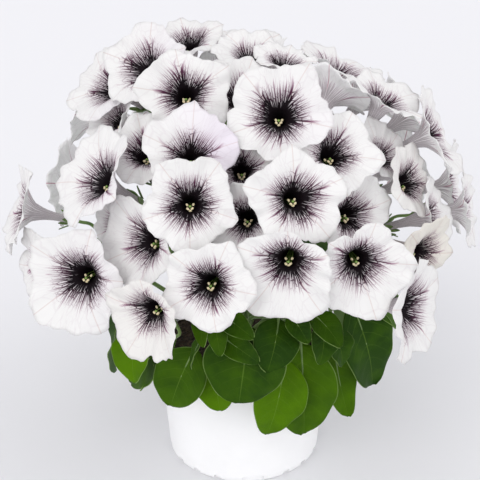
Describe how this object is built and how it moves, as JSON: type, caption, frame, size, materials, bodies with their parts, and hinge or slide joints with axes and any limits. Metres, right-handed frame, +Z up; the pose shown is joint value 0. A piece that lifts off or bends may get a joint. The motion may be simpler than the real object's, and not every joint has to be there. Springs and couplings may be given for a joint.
{
  "type": "potted petunia",
  "caption": "White petunia with dark purple-veined throats in full flower, over green leaves, in a round white plastic nursery pot filled with potting mix.",
  "frame": {"origin": "middle of the pot's flat underside, on the surface it stands on", "axes": "+Z up along the pot's axis, -Y towards the front that the picture shows, +X to the right seen from there"},
  "size_m": [0.3528, 0.3384, 0.3462],
  "materials": {
    "white_plastic": "satin",
    "potting_mix": "matte",
    "green": "satin",
    "petal": "matte"
  },
  "bodies": {
    "root": {"pot": "white_plastic", "soil": "potting_mix", "plant": "green", "bloom_01": "petal", "bloom_02": "petal", "bloom_03": "petal", "bloom_04": "petal", "bloom_05": "petal", "bloom_06": "petal", "bloom_07": "petal", "bloom_08": "petal", "bloom_09": "petal", "bloom_10": "petal", "bloom_11": "petal", "bloom_12": "petal", "bloom_13": "petal", "bloom_14": "petal", "bloom_15": "petal", "bloom_16": "petal", "bloom_17": "petal", "bloom_18": "petal", "bloom_19": "petal", "bloom_20": "petal", "bloom_21": "petal", "bloom_22": "petal", "bloom_23": "petal", "bloom_24": "petal", "bloom_25": "petal", "bloom_26": "petal", "bloom_27": "petal", "bloom_28": "petal", "bloom_29": "petal", "bloom_30": "petal", "bloom_31": "petal", "bloom_32": "petal", "bloom_33": "petal", "bloom_34": "petal", "bloom_35": "petal", "bloom_36": "petal", "bloom_37": "petal", "bloom_38": "petal", "bloom_39": "petal", "bloom_40": "petal", "bloom_41": "petal", "bloom_42": "petal", "bloom_43": "petal", "bloom_44": "petal", "bloom_45": "petal", "bloom_46": "petal", "bloom_47": "petal", "bloom_48": "petal", "bloom_49": "petal", "bloom_50": "petal", "bloom_51": "petal", "bloom_52": "petal", "bloom_53": "petal", "bloom_54": "petal"}
  },
  "joints": []
}
